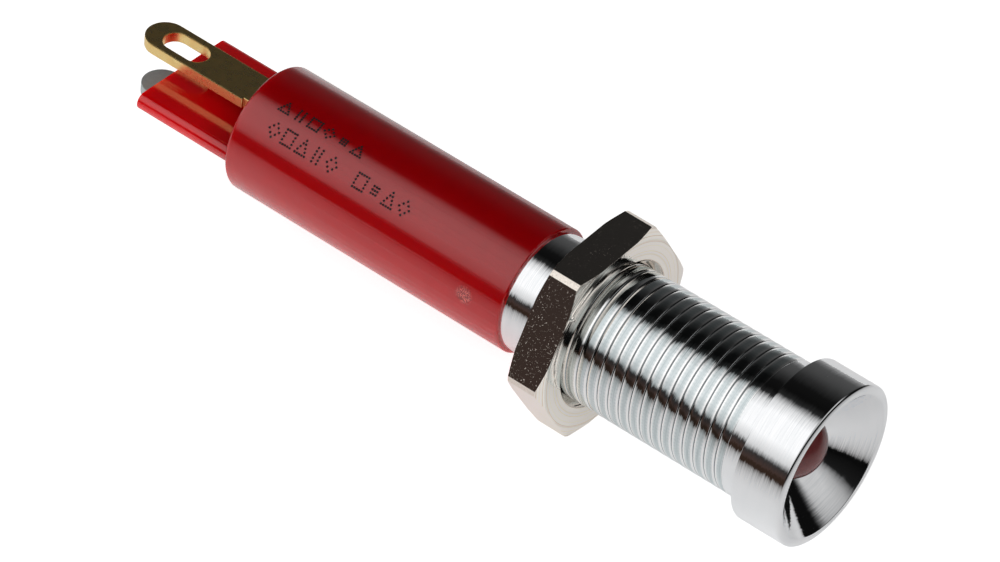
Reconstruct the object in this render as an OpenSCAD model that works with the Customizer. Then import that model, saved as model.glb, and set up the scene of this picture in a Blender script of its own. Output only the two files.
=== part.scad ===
// Panel pilot light: a chromed 8 mm indicator with a recessed LED, a hexagon nut,
// a moulded rear shell and two slotted solder tabs parted by a barrier plate.
// Millimetres. Origin: axis of the barrel at the bezel's back face, which seats on the panel.
// +Y runs back to the terminals, so the light faces -Y. +Z is square to the barrier plate.

/* [Bezel and reflector] */
// Outside diameter of the bezel
bezel_d = 9.5; // [9:0.1:14]
// Height of the bezel in front of the panel
bezel_h = 3.0; // [1.5:0.1:5]
// Chamfer on the bezel's front edge
bezel_edge = 0.15; // [0:0.05:0.4]
// Diameter of the reflector cone at its mouth
cone_mouth_d = 8.5; // [6:0.1:12]
// Depth of the reflector cone
cone_depth = 2.2; // [1:0.1:4]
// Width of the step between the bore and the throat that the LED stands in
seat_w = 0.45; // [0.2:0.05:1]

/* [Barrel] */
// Diameter of the thread and of the smooth neck
barrel_d = 8.0; // [7:0.1:12]
// Length of the smooth neck behind the bezel
neck_len = 1.2; // [0.5:0.1:3]
// Length of the thread
thread_len = 12.3; // [6:0.1:20]
// Diameter of the plain tail behind the thread
tail_d = 7.0; // [6:0.1:11]
// Length of the plain tail that stays in view, thread run-out included
tail_len = 2.8; // [1:0.1:6]
// Diameter of the bore that holds the works
bore_d = 5.0; // [4:0.1:8]
// Wall of the spigot that carries the rear shell
spigot_wall = 0.45; // [0.3:0.05:1]
// Length of the spigot
spigot_len = 3.2; // [2:0.1:6]

/* [Hexagon nut] */
// Width across the flats
nut_flats = 11.0; // [10:0.5:16]
// Thickness of the nut
nut_h = 2.2; // [1.5:0.1:4]
// Distance from the panel seat to the nut's front face
nut_y = 11.5; // [1.2:0.1:13.5]
// Turn of the nut on its thread, from square to the barrier, degrees
nut_turn = 4.3; // [-30:0.1:30]
// How much wider than the flats the circle is where the corner chamfers begin
nut_chamfer = 0.4; // [-0.6:0.1:1]
// Angle of the corner chamfers, degrees
nut_chamfer_angle = 20; // [10:1:30]
// How much is turned off the nut's corners, across them
nut_corner_trim = 0.2; // [0.1:0.05:0.5]
// Depth of the countersink at each end of the nut's thread
nut_sink = 0.35; // [0:0.05:0.8]

/* [Rear shell] */
// Outside diameter of the rear shell
shell_d = 7.45; // [7:0.05:11]
// Length of the rear shell without its barrier
shell_len = 18.95; // [14:0.05:30]
// Thickness of the shell's rear wall
rear_wall = 1.3; // [0.8:0.1:3]
// Radius of the rounded edge at the shell's rear end
shell_edge = 0.25; // [0.05:0.05:0.5]
// Width that the barrier plate falls short of the shell's diameter
barrier_inset = 0.1; // [0.1:0.1:2]
// Length of the barrier plate behind the shell
barrier_len = 6.25; // [0.5:0.05:10]
// Thickness of the barrier plate
barrier_t = 1.05; // [0.6:0.05:1.6]

/* [Terminals] */
// Width of each solder tab
tab_w = 2.4; // [1.8:0.1:3]
// Thickness of each solder tab
tab_t = 0.65; // [0.4:0.05:0.8]
// Length of the full-width blade
tab_len = 7.65; // [5:0.05:12]
// Height of each tab's middle above or below the axis
tab_offset = 1.65; // [1.2:0.05:2.4]
// Width of the stem that passes through the shell
stem_w = 2.1; // [1:0.1:2.4]
// Gap between the shell's rear face and the tab's shoulders
shoulder_gap = 1.05; // [0:0.05:3]
// Length of the stem inside the shell, in front of the rear wall
stem_inside = 3.8; // [2:0.1:6]
// Width of the oblong slot
slot_w = 1.5; // [0.8:0.05:1.8]
// Length of the oblong slot, end to end
slot_len = 2.95; // [1.6:0.05:5]
// Metal between the slot and the tab's tip
slot_web = 1.15; // [0.6:0.05:2]

/* [LED] */
// Height of the middle of the dome, in front of the panel seat
dome_y = 0.2; // [-1:0.05:1]
// Distance from the panel seat to the step that the seal lies on
seat_y = 0.9; // [0.4:0.1:2]
// Thickness of the silicone seal
seal_t = 0.4; // [0.2:0.05:0.8]
// Thickness of the LED's flange
flange_t = 0.8; // [0.5:0.1:1.5]
// Distance between the LED's legs, centre to centre
leg_pitch = 2.54; // [2:0.01:3]
// Side of each square leg
leg_w = 0.5; // [0.3:0.05:0.6]
// Length of the legs behind the flange
leg_len = 6.9; // [5:0.1:9]
// Length of the insulating holder
holder_len = 4.4; // [2:0.1:5]

/* [Series parts] */
// Diameter of the resistor
resistor_d = 1.9; // [1.6:0.05:2]
// Length of the resistor
resistor_len = 4.0; // [3:0.1:7]
// Distance from the panel seat to the resistor
resistor_y = 13.0; // [11:0.1:16]
// Diameter of the diode
diode_d = 1.8; // [1.4:0.05:2]
// Length of the diode
diode_len = 3.5; // [2:0.1:5]
// Distance from the panel seat to the diode
diode_y = 21.5; // [19:0.1:25]
// Diameter of the wires
wire_d = 0.5; // [0.3:0.05:0.6]
// Wall of the shrink sleeves
sleeve_wall = 0.18; // [0.1:0.01:0.3]

/* [Hidden] */
// Named clearances
nut_clear = 0.03;
lens_clear = 0.1;
flange_clear = 0.2;
fit_clear = 0.02;
glue_gap = 0.05;
hole_clear = 0.05;
lead_gap = 0.02;
cut = 1;

// Roundness: radii that carry a fit, and thin wires
fine = 72;
thin = 24;
$fn = fine;

// Places along the axis
cone_floor_y = -bezel_h + cone_depth;
thread_end_y = neck_len + thread_len;
runout = (barrel_d - tail_d) / 2;
tail_end_y = thread_end_y + tail_len;
spigot_end_y = tail_end_y + spigot_len;
shell_end_y = tail_end_y + shell_len;
wall_y = shell_end_y - rear_wall;
barrier_end_y = shell_end_y + barrier_len;
shoulder_y = shell_end_y + shoulder_gap;
tab_tip_y = shoulder_y + tab_len;
stem_y = wall_y - stem_inside;
flange_y = seat_y + seal_t;
flange_back_y = flange_y + flange_t;
leg_end_y = flange_back_y + leg_len;
holder_end_y = flange_back_y + holder_len;

// Radii and heights
spigot_d = bore_d + 2 * spigot_wall;
throat_d = bore_d - 2 * seat_w;
lens_d = throat_d - 2 * lens_clear;
flange_d = bore_d - 2 * flange_clear;
nut_face_d = nut_flats + nut_chamfer;
nut_over_corners = nut_flats / cos(30) - nut_corner_trim;
barrier_w = shell_d - barrier_inset;
leg_z = leg_pitch / 2;
wire_z = leg_z - leg_w / 2 - wire_d / 2 - lead_gap;
stem_face_z = tab_offset - tab_t / 2;

// Lead frame inside the LED
cup_d = 1.1;
cup_y = -0.35;
cup_h = 0.95;
cup_mouth_d = 0.84;
cup_floor_d = 0.5;
cup_depth = 0.3;
web_t = 0.5;
post_y = -0.1;
post_z = 0.75;
chip_w = 0.28;
chip_t = 0.12;

// Wires, their laps and the soldered joints
lap = 1.0;
joint_d = 1.24;
joint_over = 0.2;
joint_round = 0.22;
wire_start_y = leg_end_y - lap;
wire_end_y = stem_y + lap + joint_over;
tail_joint_z = (wire_z + stem_face_z) / 2;
leg_joint_z = (wire_z + leg_z) / 2;
potting_gap = 0.1;
potting_y = wire_end_y + joint_over + potting_gap;
sleeve_over = 2;
resistor_neck = 0.13;
resistor_cap = 0.75;
resistor_bevel = 0.25;
diode_round = 0.3;

// Colours
chrome = "#d6d8da";
nickel = "#cfc8bc";
lens_red = "#5a1010";
shell_red = "#b01018";
gold = "#d9a94e";
tin = "#8d9494";
copper = "#b87333";
nylon = "#e8e4d8";
silicone = "#9aa0a0";
tan = "#c9ad7f";
sleeve_black = "#202020";
epoxy_black = "#181818";
solder_grey = "#a8abad";
glass_orange = "#c46a2a";
chip_grey = "#6a6a70";

// Turns a shape drawn along +Z to run along +Y from the given place.
module along_y(y, z = 0)
    translate([0, y, z])
        rotate([-90, 0, 0])
            children();

// A round bar along +Y.
module bar(d, from_y, to_y, z = 0, facets = fine)
    along_y(from_y, z)
        cylinder(d = d, h = to_y - from_y, $fn = facets);

// A square bar along +Y.
module square_bar(w, from_y, to_y, z)
    translate([-w / 2, from_y, z - w / 2])
        cube([w, to_y - from_y, w]);

// The housing is one turned profile, bored from the back and coned from the front.
module housing()
    color(chrome)
        rotate([-90, 0, 0])
            rotate_extrude()
                polygon([
                    [cone_mouth_d / 2, -bezel_h],
                    [bezel_d / 2 - bezel_edge, -bezel_h],
                    [bezel_d / 2, -bezel_h + bezel_edge],
                    [bezel_d / 2, 0],
                    [barrel_d / 2, 0],
                    [barrel_d / 2, thread_end_y],
                    [tail_d / 2, thread_end_y + runout],
                    [tail_d / 2, tail_end_y],
                    [spigot_d / 2, tail_end_y],
                    [spigot_d / 2, spigot_end_y],
                    [bore_d / 2, spigot_end_y],
                    [bore_d / 2, seat_y],
                    [throat_d / 2, seat_y],
                    [throat_d / 2, cone_floor_y]
                ]);

// The blank that a nut's hexagon is turned to: it trims the corners and chamfers their ends.
module nut_blank() {
    fall = (nut_over_corners - nut_face_d) / 2 * tan(nut_chamfer_angle);
    along_y(nut_y)
        rotate_extrude()
            polygon([
                [0, 0],
                [nut_face_d / 2, 0],
                [nut_over_corners / 2, fall],
                [nut_over_corners / 2, nut_h - fall],
                [nut_face_d / 2, nut_h],
                [0, nut_h]
            ]);
}

module nut_bore() {
    hole_d = barrel_d + 2 * nut_clear;
    mouth_d = hole_d + 2 * nut_sink;
    bar(hole_d, nut_y - cut, nut_y + nut_h + cut);
    along_y(nut_y)
        cylinder(d1 = mouth_d, d2 = hole_d, h = nut_sink);
    along_y(nut_y + nut_h - nut_sink)
        cylinder(d1 = hole_d, d2 = mouth_d, h = nut_sink);
}

module hex_nut()
    color(nickel)
        rotate([0, -nut_turn, 0])
            difference() {
                intersection() {
                    along_y(nut_y)
                        cylinder(d = nut_flats / cos(30), h = nut_h, $fn = 6);
                    nut_blank();
                }
                nut_bore();
            }

// Half section of the shell's tube, with its rear edge rounded.
module shell_section() {
    r = shell_d / 2;
    square([r, shell_len - shell_edge]);
    square([r - shell_edge, shell_len]);
    translate([r - shell_edge, shell_len - shell_edge])
        circle(r = shell_edge);
}

// Section of the barrier plate: its long edges are fully round.
module barrier_section() {
    flat_w = barrier_w - barrier_t;
    square([flat_w, barrier_t], center = true);
    for (side = [-1, 1])
        translate([side * flat_w / 2, 0])
            circle(d = barrier_t);
}

module rear_shell()
    color(shell_red)
        difference() {
            union() {
                along_y(tail_end_y)
                    rotate_extrude()
                        shell_section();
                along_y(wall_y)
                    linear_extrude(barrier_end_y - wall_y)
                        barrier_section();
            }
            bar(spigot_d + 2 * glue_gap, tail_end_y - cut, wall_y);
            for (side = [-1, 1])
                translate([-stem_w / 2 - hole_clear, wall_y - cut,
                           side * tab_offset - tab_t / 2 - hole_clear])
                    cube([stem_w + 2 * hole_clear, rear_wall + 2 * cut, tab_t + 2 * hole_clear]);
        }

// A solder tab seen from above: stem, shoulders, rounded blade and oblong slot.
module tab_outline() {
    slot_r = slot_w / 2;
    slot_end_y = tab_tip_y - slot_web;
    difference() {
        union() {
            translate([-stem_w / 2, stem_y])
                square([stem_w, shoulder_y - stem_y + tab_w / 2]);
            translate([-tab_w / 2, shoulder_y])
                square([tab_w, tab_len - tab_w / 2]);
            translate([0, tab_tip_y - tab_w / 2])
                circle(d = tab_w);
        }
        translate([-slot_r, slot_end_y - slot_len + slot_r])
            square([slot_w, slot_len - slot_w]);
        translate([0, slot_end_y - slot_r])
            circle(r = slot_r);
        translate([0, slot_end_y - slot_len + slot_r])
            circle(r = slot_r);
    }
}

module terminal(z)
    translate([0, 0, z - tab_t / 2])
        linear_extrude(tab_t)
            tab_outline();

module terminal_positive()
    color(gold)
        terminal(tab_offset);

module terminal_negative()
    color(tin)
        terminal(-tab_offset);

// The cathode's leg carries the cup on a web.
module cathode_frame()
    difference() {
        union() {
            square_bar(leg_w, cup_y + cup_h - web_t, leg_end_y, -leg_z);
            translate([-leg_w / 2, cup_y + cup_h - web_t, -leg_z])
                cube([leg_w, web_t, leg_z]);
            bar(cup_d, cup_y, cup_y + cup_h, 0, thin);
        }
        along_y(cup_y)
            cylinder(d1 = cup_mouth_d, d2 = cup_floor_d, h = cup_depth, $fn = thin);
    }

// The anode's leg ends in the post that the bond wire lands on.
module anode_frame() {
    square_bar(leg_w, post_y, leg_end_y, leg_z);
    translate([-leg_w / 2, post_y, post_z])
        cube([leg_w, web_t, leg_z - post_z]);
}

module chip_block()
    translate([-chip_w / 2, cup_y + cup_depth - chip_t, -chip_w / 2])
        cube([chip_w, chip_t, chip_w]);

module led_cathode()
    color(tin)
        cathode_frame();

module led_anode()
    color(tin)
        anode_frame();

module led_chip()
    color(chip_grey)
        chip_block();

// The epoxy body is cast around the lead frame.
module led_lens()
    color(lens_red)
        difference() {
            union() {
                translate([0, -dome_y, 0])
                    sphere(d = lens_d);
                bar(lens_d, -dome_y, flange_y);
                bar(flange_d, flange_y, flange_back_y);
            }
            cathode_frame();
            anode_frame();
            chip_block();
        }

module lens_seal()
    color(silicone)
        difference() {
            bar(flange_d, seat_y, flange_y);
            bar(lens_d + 2 * glue_gap, seat_y - cut, flange_y + cut);
        }

module led_holder()
    color(nylon)
        difference() {
            bar(bore_d - 2 * fit_clear, flange_back_y, holder_end_y);
            for (side = [-1, 1])
                square_bar(leg_w + 2 * hole_clear, flange_back_y - cut, holder_end_y + cut, side * leg_z);
        }

// The resistor swells over its end caps.
module resistor_body() {
    cap_r = resistor_d / 2;
    waist_r = cap_r - resistor_neck;
    cap_end = resistor_cap + resistor_bevel;
    color(tan)
        along_y(resistor_y, wire_z)
            rotate_extrude($fn = thin)
                polygon([
                    [0, 0],
                    [cap_r - resistor_bevel, 0],
                    [cap_r, resistor_bevel],
                    [cap_r, resistor_cap],
                    [waist_r, cap_end],
                    [waist_r, resistor_len - cap_end],
                    [cap_r, resistor_len - resistor_cap],
                    [cap_r, resistor_len - resistor_bevel],
                    [cap_r - resistor_bevel, resistor_len],
                    [0, resistor_len]
                ]);
}

module wire(from_y, to_y, z)
    bar(wire_d, from_y, to_y, z, thin);

module resistor_front_lead()
    color(copper)
        wire(wire_start_y, resistor_y, wire_z);

module resistor_rear_lead()
    color(copper)
        wire(resistor_y + resistor_len, wire_end_y, wire_z);

module diode_body() {
    r = diode_d / 2;
    color(glass_orange)
        along_y(diode_y, -wire_z)
            rotate_extrude($fn = thin)
                polygon([
                    [0, 0],
                    [r - diode_round, 0],
                    [r, diode_round],
                    [r, diode_len - diode_round],
                    [r - diode_round, diode_len],
                    [0, diode_len]
                ]);
}

module diode_front_lead()
    color(copper)
        wire(wire_start_y, diode_y, -wire_z);

module diode_rear_lead()
    color(copper)
        wire(diode_y + diode_len, wire_end_y, -wire_z);

// A shrink sleeve covers a wire where it passes a component on the other wire.
module sleeve(from_y, to_y, z)
    color(sleeve_black)
        difference() {
            bar(wire_d + 2 * fit_clear + 2 * sleeve_wall, from_y, to_y, z, thin);
            bar(wire_d + 2 * fit_clear, from_y - cut, to_y + cut, z, thin);
        }

module insulating_sleeve()
    sleeve(resistor_y - sleeve_over, resistor_y + resistor_len + sleeve_over, -wire_z);

module diode_side_sleeve()
    sleeve(diode_y - sleeve_over, diode_y + diode_len + sleeve_over, wire_z);

// A bead of solder with bevelled ends.
module bead(from_y, to_y, z) {
    r = joint_d / 2;
    len = to_y - from_y;
    along_y(from_y, z)
        rotate_extrude($fn = thin)
            polygon([
                [0, 0],
                [r - joint_round, 0],
                [r, joint_round],
                [r, len - joint_round],
                [r - joint_round, len],
                [0, len]
            ]);
}

// Solder between an LED leg and a wire that laps it. Side is 1 above the axis, -1 below.
module leg_joint(side)
    color(solder_grey)
        difference() {
            bead(wire_start_y - joint_over, leg_end_y + joint_over, side * leg_joint_z);
            square_bar(leg_w, wire_start_y - cut, leg_end_y, side * leg_z);
            wire(wire_start_y, leg_end_y + cut, side * wire_z);
        }

// Solder between a wire's end and a terminal's stem.
module stem_joint(side)
    color(solder_grey)
        difference() {
            bead(stem_y - joint_over, wire_end_y + joint_over, side * tail_joint_z);
            wire(stem_y - cut, wire_end_y, side * wire_z);
            terminal(side * tab_offset);
        }

module anode_joint() leg_joint(1);
module cathode_joint() leg_joint(-1);
module positive_joint() stem_joint(1);
module negative_joint() stem_joint(-1);

// Epoxy poured behind the rear wall locks the terminals' stems.
module potting()
    color(epoxy_black)
        difference() {
            bar(spigot_d + 2 * glue_gap, potting_y, wall_y);
            for (side = [-1, 1])
                terminal(side * tab_offset);
        }

housing();
hex_nut();
rear_shell();
terminal_positive();
terminal_negative();
led_lens();
led_cathode();
led_anode();
led_chip();
lens_seal();
led_holder();
resistor_body();
resistor_front_lead();
resistor_rear_lead();
diode_body();
diode_front_lead();
diode_rear_lead();
insulating_sleeve();
diode_side_sleeve();
anode_joint();
cathode_joint();
positive_joint();
negative_joint();
potting();
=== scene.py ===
# %% [markdown]
# # A panel pilot light
# This lesson gives the finished look to a small indicator lamp: a chromed, turned housing with
# a fine thread, a nickel-plated hexagon nut, a moulded red rear shell with a barrier plate, one
# gold-plated and one tinned solder tab, and a red LED at the bottom of a reflector cone. The
# sizes come from a finished engineering model, the frame. Here each part that shows gets the
# edges, threads and surfaces that the eye needs, and every part gets a finish of its own.

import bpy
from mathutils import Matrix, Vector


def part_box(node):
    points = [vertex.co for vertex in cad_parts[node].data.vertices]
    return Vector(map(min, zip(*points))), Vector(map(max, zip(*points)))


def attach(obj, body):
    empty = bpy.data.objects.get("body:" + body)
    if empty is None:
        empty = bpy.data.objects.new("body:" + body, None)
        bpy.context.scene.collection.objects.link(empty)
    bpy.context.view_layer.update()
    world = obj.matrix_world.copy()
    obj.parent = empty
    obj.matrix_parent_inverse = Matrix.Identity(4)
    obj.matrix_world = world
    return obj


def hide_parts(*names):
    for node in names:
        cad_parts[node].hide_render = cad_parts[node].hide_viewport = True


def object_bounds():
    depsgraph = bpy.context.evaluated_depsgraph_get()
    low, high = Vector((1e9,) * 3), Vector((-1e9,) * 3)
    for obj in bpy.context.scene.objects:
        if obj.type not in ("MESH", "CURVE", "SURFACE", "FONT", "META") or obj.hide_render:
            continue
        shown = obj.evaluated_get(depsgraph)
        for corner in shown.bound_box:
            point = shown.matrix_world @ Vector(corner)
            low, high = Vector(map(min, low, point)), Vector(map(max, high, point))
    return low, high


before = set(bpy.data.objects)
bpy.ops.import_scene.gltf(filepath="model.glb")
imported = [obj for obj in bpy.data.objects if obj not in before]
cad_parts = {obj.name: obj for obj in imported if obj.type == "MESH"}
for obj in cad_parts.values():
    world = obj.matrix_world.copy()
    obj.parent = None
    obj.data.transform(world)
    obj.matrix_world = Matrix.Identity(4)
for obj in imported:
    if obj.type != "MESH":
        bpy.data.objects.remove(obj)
cad_box = [list(corner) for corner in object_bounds()]

import math

import bmesh
import bpy
from mathutils import Matrix, Vector

MM = 0.001
print("parts in the frame:", len(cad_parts))

# %% [markdown]
# ## A few tools for modelling
# Everything is modelled as by hand: add a primitive, go into edit mode, select by place, and run
# an operator. A few helpers keep that short. Nothing may stay selected from before, because an
# operator acts on all that is selected, so the first helper always starts from nothing.

# %% Helpers: select, edit, modify
def only(piece):
    """Selects one object and nothing else, and makes it the active one."""
    bpy.ops.object.select_all(action="DESELECT")
    piece.select_set(True)
    bpy.context.view_layer.objects.active = piece


def select(kind, test):
    """In edit mode, selects just the verts, edges or faces that pass the test."""
    piece = bpy.context.object
    bpy.ops.mesh.select_mode(type=kind)
    bpy.ops.mesh.select_all(action="DESELECT")
    mesh = bmesh.from_edit_mesh(piece.data)
    parts = {"VERT": mesh.verts, "EDGE": mesh.edges, "FACE": mesh.faces}[kind]
    for part in parts:
        part.select = test(part)
    mesh.select_flush_mode()
    bmesh.update_edit_mesh(piece.data)


def modify(piece, kind, **settings):
    """Adds a modifier, sets it up and applies it."""
    only(piece)
    modifier = piece.modifiers.new(kind.title(), kind)
    for name, value in settings.items():
        setattr(modifier, name, value)
    bpy.ops.object.modifier_apply(modifier=modifier.name)


def combine(piece, tool, operation):
    """Cuts, joins or meets a piece with a tool, which is used up."""
    modify(piece, "BOOLEAN", object=tool, operation=operation, solver="EXACT")
    bpy.data.objects.remove(tool)


def soften(piece, width, segments, from_angle):
    """Bevels every edge that turns by more than an angle. The width is in millimetres."""
    modify(piece, "BEVEL", width=width * MM, segments=segments, limit_method="ANGLE",
           angle_limit=math.radians(from_angle), use_clamp_overlap=True)


def round_edges(piece, test, radius, segments):
    """Rounds just the edges that pass the test. The radius is in millimetres."""
    only(piece)
    bpy.ops.object.mode_set(mode="EDIT")
    select("EDGE", test)
    bpy.ops.mesh.bevel(offset=radius * MM, segments=segments)
    bpy.ops.object.mode_set(mode="OBJECT")


def finish_mesh(piece, smooth_angle=30):
    """Merges doubles, turns all faces outwards, and shades smooth except at real edges."""
    only(piece)
    bpy.ops.object.mode_set(mode="EDIT")
    bpy.ops.mesh.select_all(action="SELECT")
    bpy.ops.mesh.remove_doubles(threshold=1e-7)
    bpy.ops.mesh.normals_make_consistent(inside=False)
    bpy.ops.object.mode_set(mode="OBJECT")
    bpy.ops.object.shade_smooth_by_angle(angle=math.radians(smooth_angle))
    print(piece.name, "has", len(piece.data.polygons), "faces")


# %% [markdown]
# Turned parts come off a lathe, so they are made as a lathe would see them: half of the section,
# drawn as a chain of points, and spun round the axis. Here the axis runs along Y, from the light
# at the front to the terminals at the back, and each point is a radius and a place along it.

# %% Helper: turn a section on the lathe
def draw_outline(name, points, closed):
    """Draws a chain of (radius, y) points, in millimetres, by extruding one vertex."""
    bpy.ops.object.select_all(action="DESELECT")
    bpy.ops.mesh.primitive_plane_add(size=MM)
    piece = bpy.context.object
    piece.name = name
    bpy.ops.object.mode_set(mode="EDIT")
    bpy.ops.mesh.select_mode(type="VERT")
    bpy.ops.mesh.select_all(action="SELECT")
    bpy.ops.mesh.merge(type="CENTER")
    here = Vector((0, 0, 0))
    for count, (radius, y) in enumerate(points):
        there = Vector((radius * MM, y * MM, 0))
        if count == 0:
            bpy.ops.transform.translate(value=there)
        else:
            bpy.ops.mesh.extrude_region_move(TRANSFORM_OT_translate={"value": there - here})
        here = there
    if closed:
        ends = {tuple(round(value * MM, 8) for value in points[end]) for end in (0, -1)}
        select("VERT", lambda vert: (round(vert.co.x, 8), round(vert.co.y, 8)) in ends)
        bpy.ops.mesh.edge_face_add()
    bpy.ops.object.mode_set(mode="OBJECT")
    return piece


def quarter(middle_r, middle_y, wide, deep, start, steps):
    """A quarter of an ellipse for a section, from a start angle in degrees."""
    leans = [math.radians(start + 90 * step / steps) for step in range(steps + 1)]
    return [(middle_r + wide * math.cos(lean), middle_y + deep * math.sin(lean)) for lean in leans]


def turn(name, points, steps=128, closed=True):
    """Spins a section once round the Y axis."""
    piece = draw_outline(name, points, closed)
    bpy.ops.object.mode_set(mode="EDIT")
    bpy.ops.mesh.select_all(action="SELECT")
    bpy.ops.mesh.spin(steps=steps, angle=2 * math.pi, center=(0, 0, 0), axis=(0, 1, 0))
    bpy.ops.object.mode_set(mode="OBJECT")
    finish_mesh(piece)
    return piece


# %% [markdown]
# ## The main stations
# The frame says where each part begins and ends. A part's box gives its extreme points, so a
# few of them, in millimetres, are all the stations that the lamp needs. The zero is the back
# face of the bezel, which seats on the panel.

# %% Measure the frame
def box_mm(node):
    """Lowest and highest corner of a part, in millimetres."""
    low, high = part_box(node)
    return Vector(low) / MM, Vector(high) / MM


housing_low, housing_high = box_mm("housing")
nut_low, nut_high = box_mm("hex_nut")
shell_low, shell_high = box_mm("rear_shell")
front_y = housing_low.y
spigot_end_y = housing_high.y
bezel_r = housing_high.x
print("bezel from", round(front_y, 2), "to 0, radius", round(bezel_r, 2))
print("housing ends at", round(spigot_end_y, 2))

# %% [markdown]
# ## The housing
# The real housing is one piece of brass, turned, bored and threaded on an automatic lathe, then
# polished and chromed. Its plain parts are one closed section: bezel, reflector cone, throat,
# bore, tail and the spigot inside the shell. The thread sits on a core that is a little thinner.
# Plating rounds every edge, so a Bevel modifier takes 0.05 mm off each of them. Without that,
# an edge in a render has no highlight and looks like paper.

# %% Housing body
barrel_r = 4.0
core_r = 3.75
neck_end_y = 1.2
tail_r = 3.5
tail_len = 2.8
tail_end_y = shell_low.y
thread_end_y = tail_end_y - tail_len
runout_y = thread_end_y + barrel_r - tail_r
spigot_r = 2.95
bore_r = 2.5
throat_r = 2.05
seat_y = 0.9
cone_floor_y = -0.8
cone_mouth_r = 4.25
lip = 0.03
nose_r = cone_mouth_r + 0.05
nose_deep = 0.16
crest_cut = 0.02

housing_section = [
    (cone_mouth_r - lip, front_y + lip),
    *quarter(nose_r, front_y + nose_deep, bezel_r - nose_r, nose_deep, -90, 6),
    (bezel_r, 0),
    (barrel_r, 0),
    (barrel_r, neck_end_y),
    (core_r, neck_end_y),
    (core_r, thread_end_y),
    (barrel_r - crest_cut, thread_end_y),
    (tail_r, runout_y),
    (tail_r, tail_end_y),
    (spigot_r, tail_end_y),
    (spigot_r, spigot_end_y),
    (bore_r, spigot_end_y),
    (bore_r, seat_y),
    (throat_r, seat_y),
    (throat_r, cone_floor_y),
]
housing = turn("housing_body", housing_section, steps=160)
soften(housing, 0.05, 2, from_angle=20)
finish_mesh(housing, 35)

# %% [markdown]
# ## The thread
# The thread has narrow V grooves, 0.70 mm apart, between broad crests, and the plating has
# rounded the crests' edges. One pitch of that profile is drawn as a chain of points, and the
# Screw modifier winds it round the axis while it moves along. The winding runs past both ends,
# so two bisect cuts trim it square, and Solidify gives the strip a thin wall.

# %% Thread
pitch = 0.70
groove_w = 0.09
groove_deep = 0.08
edge_w = 0.13
edge_fall = 0.025
groove_y = 1.346

rise = [
    (barrel_r - groove_deep, 0),
    (barrel_r - edge_fall, groove_w / 2),
    (barrel_r - edge_fall * 0.4, groove_w / 2 + edge_w * 0.4),
    (barrel_r - edge_fall * 0.15, groove_w / 2 + edge_w),
]
fall = [(radius, pitch - y) for radius, y in reversed(rise)]
thread_profile = [*rise, (barrel_r, pitch / 2), *fall]
turns = math.ceil((thread_end_y - neck_end_y) / pitch) + 3
thread = draw_outline("housing_thread", thread_profile, closed=False)
steps_a_turn = 112
modify(thread, "SCREW", axis="Y", angle=2 * math.pi, screw_offset=pitch * MM, iterations=turns,
       steps=steps_a_turn, render_steps=steps_a_turn, use_merge_vertices=True, merge_threshold=1e-6)
only(thread)
bpy.ops.object.mode_set(mode="EDIT")
bpy.ops.mesh.select_all(action="SELECT")
bpy.ops.transform.translate(value=(0, (groove_y - 2 * pitch) * MM, 0))
for cut_y, keep_up in ((neck_end_y, True), (thread_end_y, False)):
    bpy.ops.mesh.select_all(action="SELECT")
    bpy.ops.mesh.bisect(plane_co=(0, cut_y * MM, 0), plane_no=(0, 1, 0), clear_inner=keep_up,
                        clear_outer=not keep_up, threshold=1e-8)
bpy.ops.object.mode_set(mode="OBJECT")
thread_smooth = 28
finish_mesh(thread, thread_smooth)
modify(thread, "SOLIDIFY", thickness=0.05 * MM, offset=-1)
bpy.ops.object.shade_smooth_by_angle(angle=math.radians(thread_smooth))
low_y = min(vert.co.y for vert in thread.data.vertices) / MM
high_y = max(vert.co.y for vert in thread.data.vertices) / MM
print("thread runs from", round(low_y, 2), "to", round(high_y, 2))

# %% [markdown]
# ## The hexagon nut
# The nut is cut from hexagon bar on a lathe, which faces both ends, turns the sharp corners off
# and chamfers their ends at a shallow 20 degrees, so each corner shows a narrow bright strip.
# The same steps make it here: a six-sided cylinder, and a Boolean intersection with a turned
# blank. A second Boolean bores it and countersinks the bore. The nut was tightened a few
# degrees off square, so the bar is turned before it is cut.

# %% Nut
nut_flats = 11.0
nut_face_r = 5.7
nut_corner_r = 6.25
nut_turn = math.radians(4.3)
nut_bore_r = 4.03
nut_sink = 0.35
bar_r = nut_flats / 2 / math.cos(math.radians(30))
chamfer_fall = (nut_corner_r - nut_face_r) * math.tan(math.radians(20))
over = 1.0

bpy.ops.object.select_all(action="DESELECT")
bpy.ops.mesh.primitive_cylinder_add(vertices=6, radius=bar_r * MM, depth=(nut_high.y - nut_low.y) * MM,
                                    location=(0, (nut_low.y + nut_high.y) / 2 * MM, 0),
                                    rotation=(math.pi / 2, math.radians(30) - nut_turn, 0))
nut = bpy.context.object
nut.name = "lock_nut_body"
bpy.ops.object.transform_apply(location=True, rotation=True, scale=True)

blank = turn("nut_blank", [
    (0, nut_low.y),
    (nut_face_r, nut_low.y),
    (nut_corner_r, nut_low.y + chamfer_fall),
    (nut_corner_r, nut_high.y - chamfer_fall),
    (nut_face_r, nut_high.y),
    (0, nut_high.y),
], steps=192, closed=False)
drill = turn("nut_drill", [
    (0, nut_low.y - over),
    (nut_bore_r + nut_sink + over, nut_low.y - over),
    (nut_bore_r, nut_low.y + nut_sink),
    (nut_bore_r, nut_high.y - nut_sink),
    (nut_bore_r + nut_sink + over, nut_high.y + over),
    (0, nut_high.y + over),
], steps=128, closed=False)
combine(nut, blank, "INTERSECT")
combine(nut, drill, "DIFFERENCE")
finish_mesh(nut, 20)
soften(nut, 0.06, 3, from_angle=18)
finish_mesh(nut, 25)
print("nut measures", [round(value / MM, 2) for value in nut.dimensions])
print("in the frame", [round(value, 2) for value in nut_high - nut_low])

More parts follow.
